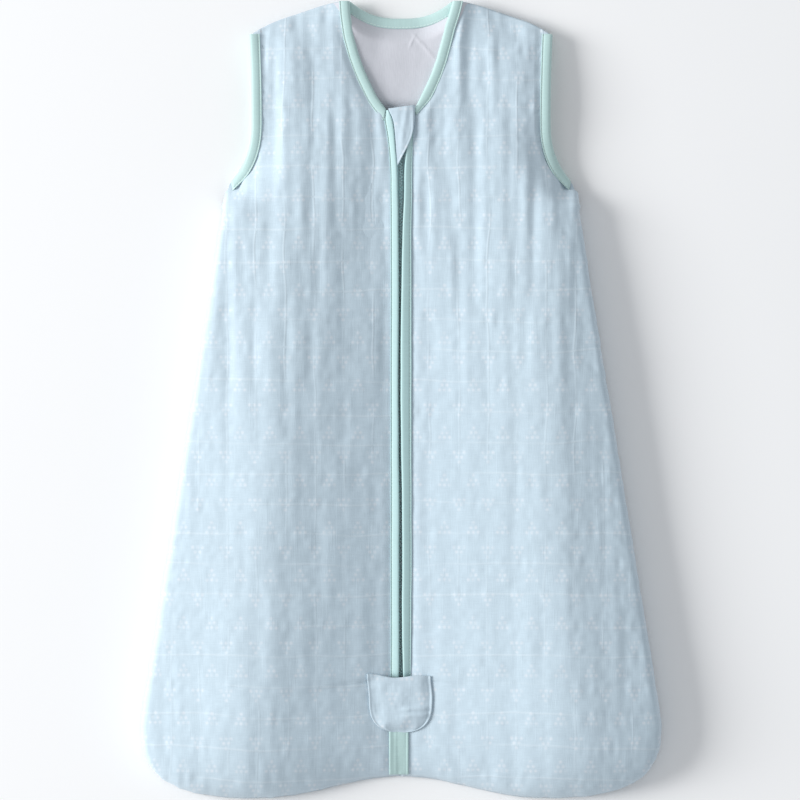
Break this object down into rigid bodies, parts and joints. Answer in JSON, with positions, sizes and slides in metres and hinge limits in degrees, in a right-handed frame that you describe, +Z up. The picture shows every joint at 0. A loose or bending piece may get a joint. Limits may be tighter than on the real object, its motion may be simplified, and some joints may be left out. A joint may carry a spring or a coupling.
{
  "type": "baby sleeping bag",
  "caption": "Sleeveless baby sleeping bag on its back: wide padded foot, bound neck and armholes, folding front halves, zip with a hidden slider, a slider pocket and a top guard.",
  "frame": {"origin": "middle of the bag's outline, on the surface that the back lies on", "axes": "+Y from the foot to the neck, +Z up through the front, +X to the right as the front is seen"},
  "size_m": [0.464, 0.7138, 0.0457],
  "materials": {
    "muslin": "soft puckered muslin with a small dotted print",
    "lining": "plain soft jersey",
    "binding": "fine ribbed binding with a light sheen",
    "zip_tape": "woven tape",
    "zip_plastic": "moulded, satin"
  },
  "bodies": {
    "bag": {"back_panel": "muslin", "back_lining": "lining", "front_panel_left": "muslin", "front_panel_right": "muslin", "front_lining_left": "lining", "front_lining_right": "lining", "neck_binding_back": "binding", "neck_binding_shoulder_left": "binding", "neck_binding_shoulder_right": "binding", "armhole_binding_left": "binding", "armhole_binding_right": "binding", "zip_binding_lower_left": "binding", "zip_binding_lower_right": "binding", "zip_tape_lower_left": "zip_tape", "zip_tape_lower_right": "zip_tape", "zip_end_stop": "zip_plastic", "binding_tail": "binding", "zip_pocket": "muslin"},
    "left_front": {"opening_panel_left": "muslin", "opening_lining_left": "lining", "neck_binding_left": "binding", "zip_binding_left": "binding", "zip_tape_left": "zip_tape", "zip_teeth_left": "zip_plastic", "zip_retainer_box": "zip_plastic"},
    "right_front": {"opening_panel_right": "muslin", "opening_lining_right": "lining", "neck_binding_right": "binding", "zip_binding_right": "binding", "zip_tape_right": "zip_tape", "zip_teeth_right": "zip_plastic", "zip_insert_pin": "zip_plastic"},
    "guard": {"zip_guard": "muslin"},
    "slider": {"zip_slider": "zip_plastic"},
    "pull": {"zip_pull": "zip_plastic"}
  },
  "joints": [
    {"name": "slider_travel", "type": "slide", "parent": "bag", "child": "slider", "axis": [0, 1, 0], "range_m": [0, 0.501], "deforming": ["zip_teeth_left", "zip_teeth_right"]},
    {"name": "pull_tilt", "type": "hinge", "parent": "slider", "child": "pull", "pos_m": [0, -0.2545, 0.022], "axis": [-1, 0, 0], "range_deg": [0, 165], "deforming": ["zip_pocket"]},
    {"name": "left_front_fold", "type": "hinge", "parent": "bag", "child": "left_front", "pos_m": [-0.012, -0.25, 0.0212], "axis": [-0.056, 0.9984, -0.0073], "range_deg": [-135, 0]},
    {"name": "right_front_fold", "type": "hinge", "parent": "bag", "child": "right_front", "pos_m": [0.012, -0.25, 0.0212], "axis": [0.056, 0.9984, -0.0073], "range_deg": [0, 135], "deforming": ["zip_guard"]},
    {"name": "guard_lift", "type": "hinge", "parent": "left_front", "child": "guard", "pos_m": [-0.00798, 0.212, 0.0215], "axis": [0.1431, -0.9897, 0], "range_deg": [0, 150]}
  ]
}
